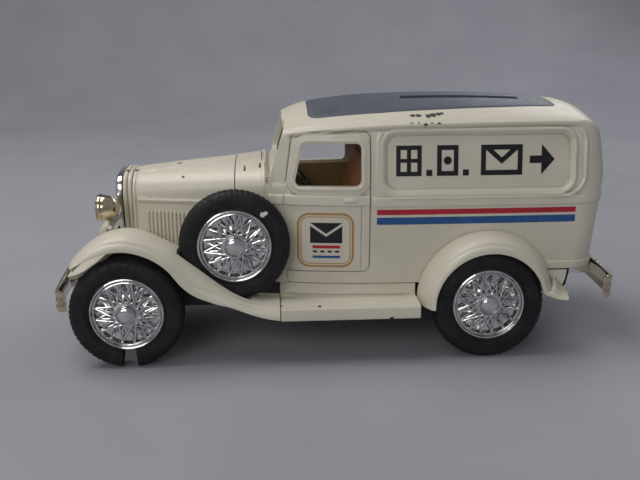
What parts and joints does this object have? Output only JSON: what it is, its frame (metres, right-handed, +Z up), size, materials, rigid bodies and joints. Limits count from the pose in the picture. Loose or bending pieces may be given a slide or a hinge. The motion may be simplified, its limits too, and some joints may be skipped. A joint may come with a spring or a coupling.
{
  "type": "mail delivery truck coin bank",
  "caption": "Scale-model panel delivery truck with a hollow body that takes coins through a roof slot, a hatch with a turning lock underneath, and wire wheels on turning axles.",
  "frame": {"origin": "on the ground, under the middle of the overall length and width", "axes": "+X from the front bumper to the rear bumper (the truck faces -X), +Y to the truck's right side, +Z up"},
  "size_m": [0.1712, 0.0736, 0.0778],
  "materials": {
    "cream_paint": "cream enamel on die-cast metal, glossy, chipped at edges",
    "blue_roof_paint": "grey-blue enamel, slightly grained",
    "chrome_plate": "bright plating with a faint warm tint",
    "bare_steel": "plain bright steel",
    "lock_brass": "satin brass",
    "black_plastic": "moulded black plastic, satin",
    "tyre_rubber": "black rubber with a dusty bloom",
    "brown_plastic": "dark brown moulded plastic",
    "tan_plastic": "orange-tan moulded plastic",
    "clear_lens": "clear ribbed lens",
    "red_print": "printed red stripe",
    "blue_print": "printed blue stripe",
    "yellow_print": "printed yellow outline",
    "dark_print": "printed black pictograms"
  },
  "bodies": {
    "truck_body": {"body_shell": "cream_paint", "hood": "cream_paint", "radiator_shell": "cream_paint", "radiator_grille": "chrome_plate", "roof_insert": "blue_roof_paint", "front_fender_left": "cream_paint", "front_fender_right": "cream_paint", "front_apron": "cream_paint", "running_board_left": "cream_paint", "running_board_right": "cream_paint", "rear_fender_left": "cream_paint", "rear_fender_right": "cream_paint", "chassis": "black_plastic", "fuel_tank": "black_plastic", "coin_door_pin": "bare_steel", "cab_floor": "brown_plastic", "seat_cushion": "tan_plastic", "seat_back": "tan_plastic", "bulkhead": "brown_plastic", "dashboard": "brown_plastic", "door_panel_left": "brown_plastic", "door_panel_right": "brown_plastic", "steering_column": "black_plastic", "steering_wheel": "black_plastic", "headlamp_bar": "chrome_plate", "front_bumper": "chrome_plate", "rear_bumper": "chrome_plate", "spare_wheel": "chrome_plate", "spare_tyre": "tyre_rubber", "spare_carrier": "cream_paint", "chassis_screw_1": "bare_steel", "chassis_screw_2": "bare_steel", "chassis_screw_3": "bare_steel", "chassis_screw_4": "bare_steel", "headlamp_left": "chrome_plate", "headlamp_lens_left": "clear_lens", "front_bumper_bracket_left": "chrome_plate", "rear_bumper_bracket_left": "chrome_plate", "headlamp_right": "chrome_plate", "headlamp_lens_right": "clear_lens", "front_bumper_bracket_right": "chrome_plate", "rear_bumper_bracket_right": "chrome_plate"},
    "front_wheels": {"front_axle": "bare_steel", "wheel_front_left": "chrome_plate", "wheel_front_right": "chrome_plate", "tyre_front_left": "tyre_rubber", "tyre_front_right": "tyre_rubber"},
    "rear_wheels": {"rear_axle": "bare_steel", "wheel_rear_left": "chrome_plate", "wheel_rear_right": "chrome_plate", "tyre_rear_left": "tyre_rubber", "tyre_rear_right": "tyre_rubber"},
    "hatch": {"coin_door": "black_plastic"},
    "lock": {"lock_barrel": "lock_brass", "lock_tongue": "bare_steel"}
  },
  "joints": [
    {"name": "front_axle_spin", "type": "hinge", "parent": "truck_body", "child": "front_wheels", "pos_m": [-0.0628, 0, 0.0168], "axis": [0, 1, 0], "continuous": true},
    {"name": "rear_axle_spin", "type": "hinge", "parent": "truck_body", "child": "rear_wheels", "pos_m": [0.0449, 0, 0.0168], "axis": [0, 1, 0], "continuous": true},
    {"name": "coin_door_hinge", "type": "hinge", "parent": "truck_body", "child": "hatch", "pos_m": [0.0142, 0, 0.013], "axis": [0, 1, 0], "range_deg": [0, 100]},
    {"name": "lock_turn", "type": "hinge", "parent": "hatch", "child": "lock", "pos_m": [0.0322, 0, 0.0142], "axis": [0, 0, -1], "range_deg": [0, 90]}
  ]
}
